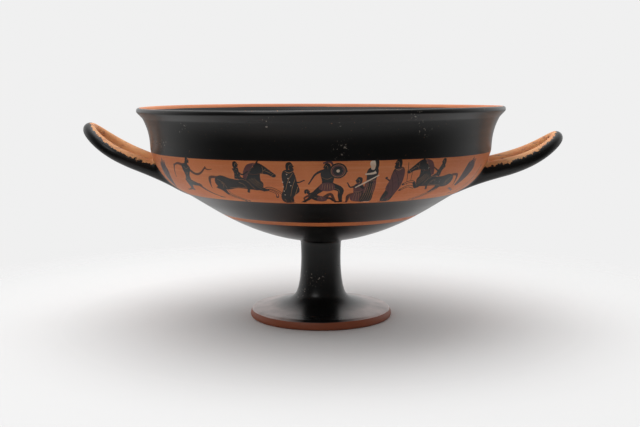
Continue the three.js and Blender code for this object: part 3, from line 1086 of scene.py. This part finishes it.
def bloom_and_painted_reflection(graph, colour):
    """A greyish pink layer on both sides of the foot's disc, partly bloom and partly painted reflection of
    the bright backdrop; it thins out towards the stem and is left out along the middle, in front of and
    behind the stem, where the stem's dark reflection falls.
    """
    axes = graph.add("ShaderNodeSeparateXYZ", {0: graph.place((1, 1, 1))}).outputs
    flat = graph.add("ShaderNodeCombineXYZ", {0: axes["X"], 1: axes["Y"]}).outputs[0]
    out = graph.add("ShaderNodeVectorMath", {0: flat}, operation="LENGTH").outputs["Value"]
    low = graph.levels(axes["Z"], 0.016, 0.009)
    patches = graph.levels(graph.noise((60, 60, 60), 4, 0.6, shift=2.0), 0.25, 0.7, 0.55, 1.0)
    # no painted reflection along the middle strip, where the stem's dark reflection falls
    aside = graph.levels(graph.maths("ABSOLUTE", axes["X"], 0.0), 0.012, 0.034)
    amount = graph.maths("MULTIPLY", graph.levels(out, 0.026, 0.040), low)
    amount = graph.maths("MULTIPLY", amount, aside)
    return graph.mix(graph.maths("MULTIPLY", amount, patches), colour, BLOOM_AND_REFLECTION)


def flecked(graph, colour):
    """Small pale scuffs, gathered in a few places."""
    where = graph.noise((38, 38, 38), 2, shift=9.0)
    marks = graph.noise((520, 520, 620), 3, 0.6, shift=7.0)
    both = graph.maths("MULTIPLY", graph.levels(where, 0.62, 0.68), graph.levels(marks, 0.62, 0.66))
    return graph.mix(both, colour, SCUFF)


BUMP_DEPTH = 0.0004  # metres


def finished(graph, colour, roughness, bump_height, bump, specular):
    normal = graph.add("ShaderNodeBump", {
        "Height": bump_height, "Strength": bump, "Distance": BUMP_DEPTH,
    }).outputs[0]
    shader = graph.add("ShaderNodeBsdfPrincipled", {
        "Base Color": colour, "Roughness": roughness, "Normal": normal,
        "Specular IOR Level": specular,
    })
    graph.add("ShaderNodeOutputMaterial", {"Surface": shader.outputs[0]})


def material(name):
    made = bpy.data.materials.new(name)
    made.use_nodes = True
    return made, Graph(made.node_tree)


def glaze_material():
    """Black gloss; the `bare` attribute and a little chance take it off again."""
    made, graph = material("glaze")
    bare = graph.add("ShaderNodeAttribute", attribute_name="bare").outputs["Fac"]
    ragged = graph.noise((300, 300, 300), 5, 0.7)
    chance = graph.levels(ragged, 0.0, 1.0, -0.75, 0.75)
    off = graph.levels(graph.maths("ADD", bare, chance), 0.49, 0.52)
    # painted reflection, with some bloom, on the foot's disc over the gloss
    coat = bloom_and_painted_reflection(graph, flecked(graph, gloss_colour(graph)))
    colour = graph.mix(off, coat, bare_colour(graph))
    streaks = graph.noise((10, 10, 160), 3)
    shine = graph.levels(streaks, 0.3, 0.75, 0.27, 0.34)
    roughness = graph.add("ShaderNodeMix", {0: off, 2: shine, 3: 0.6}).outputs[0]
    finished(graph, colour, roughness, streaks, 0.04, 0.4)
    return made


def clay_material():
    made, graph = material("clay")
    grain = graph.noise((420, 420, 700), 4)
    roughness = graph.levels(grain, 0.3, 0.7, 0.42, 0.58)
    finished(graph, clay_colour(graph), roughness, grain, 0.15, 0.45)
    return made


def ink_material(name, tone, other, roughness, specular):
    """A thin coat of one colour, uneven from stroke to stroke."""
    made, graph = material(name)
    patches = graph.noise((160, 160, 420), 4)
    colour = graph.mix(graph.levels(patches, 0.35, 0.7), tone, other)
    finished(graph, colour, graph.levels(patches, 0.3, 0.7, roughness, roughness + 0.12),
             patches, 0.15, specular)
    return made


def materials():
    return [
        glaze_material(),
        clay_material(),
        ink_material("dilute", (0.060, 0.018, 0.010), (0.13, 0.036, 0.016), 0.36, 0.4),
        ink_material("added_red", (0.105, 0.042, 0.046), (0.150, 0.058, 0.056), 0.5, 0.35),
        ink_material("added_white", (0.86, 0.68, 0.54), (0.72, 0.52, 0.38), 0.6, 0.3),
        ink_material("incision", (0.50, 0.27, 0.13), (0.34, 0.15, 0.07), 0.6, 0.3),
    ]


# ---- The cup ---------------------------------------------------------------------


def build_cup():
    surface = Surface()
    borders = turned_body(surface)
    roots = root_loops()
    pen = Pen(shapes=band_ground())
    front_side(pen)
    back_side(pen)
    holes = painted_band(surface, borders, roots, pen.shapes)
    rods(surface, roots, holes)
    out_of_true(surface.points)

    mesh = bpy.data.meshes.new("kylix_cup")
    mesh.from_pydata((surface.points * MM).tolist(), [], surface.faces)
    for made in materials():
        mesh.materials.append(made)
    mesh.polygons.foreach_set("material_index", surface.inks)
    mesh.polygons.foreach_set("use_smooth", [True] * len(mesh.polygons))
    mesh.attributes.new("bare", "FLOAT", "POINT").data.foreach_set("value", surface.bare)
    mesh.validate()
    mesh.update()
    faced = np.zeros(len(surface.points) * 3)
    mesh.vertices.foreach_get("normal", faced)
    faced = faced.reshape(-1, 3)
    own = np.linalg.norm(surface.normals, axis=1) > 0.5
    faced[own] = surface.normals[own]
    mesh.normals_split_custom_set_from_vertices(faced.tolist())
    piece = bpy.data.objects.new("kylix_cup", mesh)
    bpy.context.scene.collection.objects.link(piece)
    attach(piece, "root")
    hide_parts("kylix")
    return piece


# ---- Floor, light and camera -------------------------------------------------------

BACKDROP = 0.871  # the even, pale grey behind and under the cup
FLOOR_GREY = (0.88, 0.88, 0.88, 1)
FLOOR_RADIUS = 1.5
FLOOR_FADE = (0.20, 0.38)  # where the lit floor melts into the backdrop, from the middle


CAMERA_PLACE = (0, -0.7619, 0.1769)
CAMERA_TILT = 0.1262  # how far it looks down from level, in radians
CAMERA_LENS = 55.36
CAMERA_SHIFT = -0.0014  # the cup stands a hair to the right of the middle
CUP_MIDDLE = (0, 0, 0.1)
SHOULDER_OF_CUP = (0, 0, 0.12)


def make_floor():
    count = 96
    turns = [2 * math.pi * i / count for i in range(count)]
    rim = [(FLOOR_RADIUS * math.cos(turn), FLOOR_RADIUS * math.sin(turn), 0) for turn in turns]
    mesh = bpy.data.meshes.new("floor")
    mesh.from_pydata(rim, [], [list(range(count))])
    floor = bpy.data.objects.new("floor", mesh)
    floor.location = (0, 0, cup_low.z)
    bpy.context.scene.collection.objects.link(floor)
    made, graph = material("floor")
    where = graph.add("ShaderNodeTexCoord").outputs["Object"]
    distance = graph.add("ShaderNodeVectorMath", {0: where}, operation="LENGTH").outputs["Value"]
    gone = graph.levels(distance, *FLOOR_FADE)
    matt = graph.add("ShaderNodeBsdfDiffuse", {"Color": FLOOR_GREY}).outputs[0]
    clear = graph.add("ShaderNodeBsdfTransparent").outputs[0]
    shader = graph.add("ShaderNodeMixShader", {0: gone, 1: matt, 2: clear}).outputs[0]
    graph.add("ShaderNodeOutputMaterial", {"Surface": shader})
    mesh.materials.append(made)


def make_world():
    """An even backdrop for the camera; for the cup, a room bright behind and dark in front."""
    world = bpy.data.worlds.new("studio")
    bpy.context.scene.world = world
    world.use_nodes = True
    graph = Graph(world.node_tree)
    toward = graph.add("ShaderNodeTexCoord").outputs["Generated"]
    axes = graph.add("ShaderNodeSeparateXYZ", {0: toward}).outputs
    behind = graph.levels(axes["Y"], -0.3, 0.35, 0.07, 0.87)
    above = graph.levels(axes["Z"], 0.55, 0.95, 0.0, 0.6)
    below = graph.levels(axes["Z"], -0.06, 0.0, 0.6, 1.0)
    room = graph.maths("MULTIPLY", graph.maths("ADD", behind, above), below)
    seen = graph.add("ShaderNodeLightPath").outputs["Is Camera Ray"]
    light = graph.add("ShaderNodeMix", {0: seen, 2: room, 3: BACKDROP}).outputs[0]
    shade = graph.add("ShaderNodeBackground", {"Color": (1, 1, 1, 1), "Strength": light})
    graph.add("ShaderNodeOutputWorld", {"Surface": shade.outputs[0]})


def make_lamp(name, place, target, size, watts):
    data = bpy.data.lights.new(name, "AREA")
    data.shape = "RECTANGLE"
    data.size, data.size_y = size
    data.energy = watts
    lamp = bpy.data.objects.new(name, data)
    lamp.location = place
    lamp.rotation_euler = (Vector(target) - Vector(place)).to_track_quat("-Z", "Y").to_euler()
    bpy.context.scene.collection.objects.link(lamp)


def make_camera():
    data = bpy.data.cameras.new("camera")
    data.lens = CAMERA_LENS
    data.sensor_width = 36
    data.shift_x = CAMERA_SHIFT
    camera = bpy.data.objects.new("camera", data)
    camera.location = CAMERA_PLACE
    camera.rotation_euler = (math.pi / 2 - CAMERA_TILT, 0, 0)
    bpy.context.scene.collection.objects.link(camera)
    bpy.context.scene.camera = camera


make_camera()
make_floor()
make_world()
make_lamp("overhead", (-0.12, 0.06, 1.3), CUP_MIDDLE, size=(1.5, 1.0), watts=7.8)
make_lamp("key", (-0.55, -0.95, 0.8), SHOULDER_OF_CUP, size=(0.5, 0.4), watts=1.5)
bpy.context.scene.view_settings.view_transform = "Standard"
build_cup()
